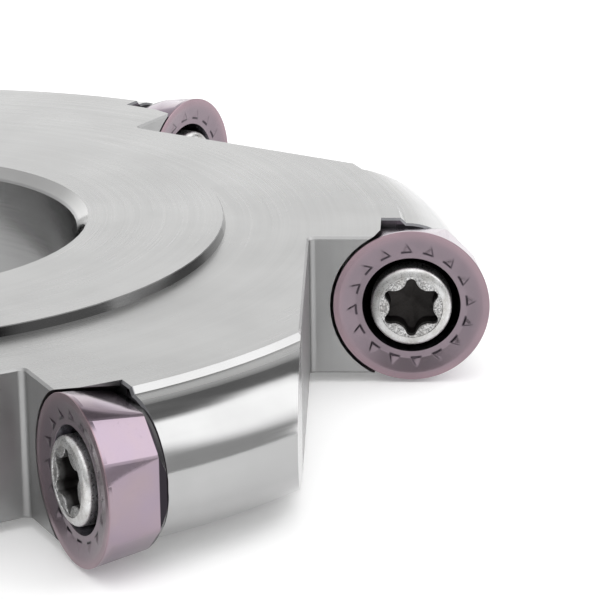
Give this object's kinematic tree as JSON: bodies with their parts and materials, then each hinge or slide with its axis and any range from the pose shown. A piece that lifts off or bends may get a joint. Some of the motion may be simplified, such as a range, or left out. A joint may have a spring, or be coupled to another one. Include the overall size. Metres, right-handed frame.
{
  "type": "indexable side and face mill",
  "caption": "Disc milling cutter with full-round carbide inserts screwed into pockets on its rim, a raised hub and a keyed arbor bore.",
  "frame": {"origin": "on the bore axis, halfway through the disc", "axes": "+Z along the bore axis; +X through the middle of insert_1; the cutting faces look clockwise seen from +Z"},
  "size_m": [0.08, 0.0768, 0.0104],
  "materials": {
    "body": "satin nickel-coated tool steel, finely turned and ground",
    "insert": "mauve-grey coated carbide, pressed and sintered",
    "screw": "bright worn steel"
  },
  "bodies": {
    "cutter_body": {"cutter_body": "body"},
    "insert_1": {"insert_1": "insert"},
    "screw_1": {"insert_screw_1": "screw"},
    "insert_2": {"insert_2": "insert"},
    "screw_2": {"insert_screw_2": "screw"},
    "insert_3": {"insert_3": "insert"},
    "screw_3": {"insert_screw_3": "screw"},
    "insert_4": {"insert_4": "insert"},
    "screw_4": {"insert_screw_4": "screw"},
    "insert_5": {"insert_5": "insert"},
    "screw_5": {"insert_screw_5": "screw"},
    "insert_6": {"insert_6": "insert"},
    "screw_6": {"insert_screw_6": "screw"}
  },
  "joints": [
    {"name": "insert_1_lift", "type": "slide", "parent": "cutter_body", "child": "insert_1", "axis": [0.0297, -0.9996, 0], "range_m": [0, 0.00495]},
    {"name": "screw_1_turn", "type": "hinge", "parent": "insert_1", "child": "screw_1", "pos_m": [0.035, 0, 0], "axis": [0.0297, -0.9996, 0], "range_deg": [0, 2970]},
    {"name": "insert_2_lift", "type": "slide", "parent": "cutter_body", "child": "insert_2", "axis": [0.8805, -0.4741, 0], "range_m": [0, 0.00495]},
    {"name": "screw_2_turn", "type": "hinge", "parent": "insert_2", "child": "screw_2", "pos_m": [0.0175, 0.03031, 0], "axis": [0.8805, -0.4741, 0], "range_deg": [0, 2970]},
    {"name": "insert_3_lift", "type": "slide", "parent": "cutter_body", "child": "insert_3", "axis": [0.8508, 0.5255, 0], "range_m": [0, 0.00495]},
    {"name": "screw_3_turn", "type": "hinge", "parent": "insert_3", "child": "screw_3", "pos_m": [-0.0175, 0.03031, 0], "axis": [0.8508, 0.5255, 0], "range_deg": [0, 2970]},
    {"name": "insert_4_lift", "type": "slide", "parent": "cutter_body", "child": "insert_4", "axis": [-0.0297, 0.9996, 0], "range_m": [0, 0.00495]},
    {"name": "screw_4_turn", "type": "hinge", "parent": "insert_4", "child": "screw_4", "pos_m": [-0.035, 0, 0], "axis": [-0.0297, 0.9996, 0], "range_deg": [0, 2970]},
    {"name": "insert_5_lift", "type": "slide", "parent": "cutter_body", "child": "insert_5", "axis": [-0.8805, 0.4741, 0], "range_m": [0, 0.00495]},
    {"name": "screw_5_turn", "type": "hinge", "parent": "insert_5", "child": "screw_5", "pos_m": [-0.0175, -0.03031, 0], "axis": [-0.8805, 0.4741, 0], "range_deg": [0, 2970]},
    {"name": "insert_6_lift", "type": "slide", "parent": "cutter_body", "child": "insert_6", "axis": [-0.8508, -0.5255, 0], "range_m": [0, 0.00495]},
    {"name": "screw_6_turn", "type": "hinge", "parent": "insert_6", "child": "screw_6", "pos_m": [0.0175, -0.03031, 0], "axis": [-0.8508, -0.5255, 0], "range_deg": [0, 2970]}
  ],
  "couplings": [
    {"joint": "screw_1_turn", "follows": "insert_1_lift", "rad_per_m": 10472},
    {"joint": "screw_2_turn", "follows": "insert_2_lift", "rad_per_m": 10472},
    {"joint": "screw_3_turn", "follows": "insert_3_lift", "rad_per_m": 10472},
    {"joint": "screw_4_turn", "follows": "insert_4_lift", "rad_per_m": 10472},
    {"joint": "screw_5_turn", "follows": "insert_5_lift", "rad_per_m": 10472},
    {"joint": "screw_6_turn", "follows": "insert_6_lift", "rad_per_m": 10472}
  ]
}
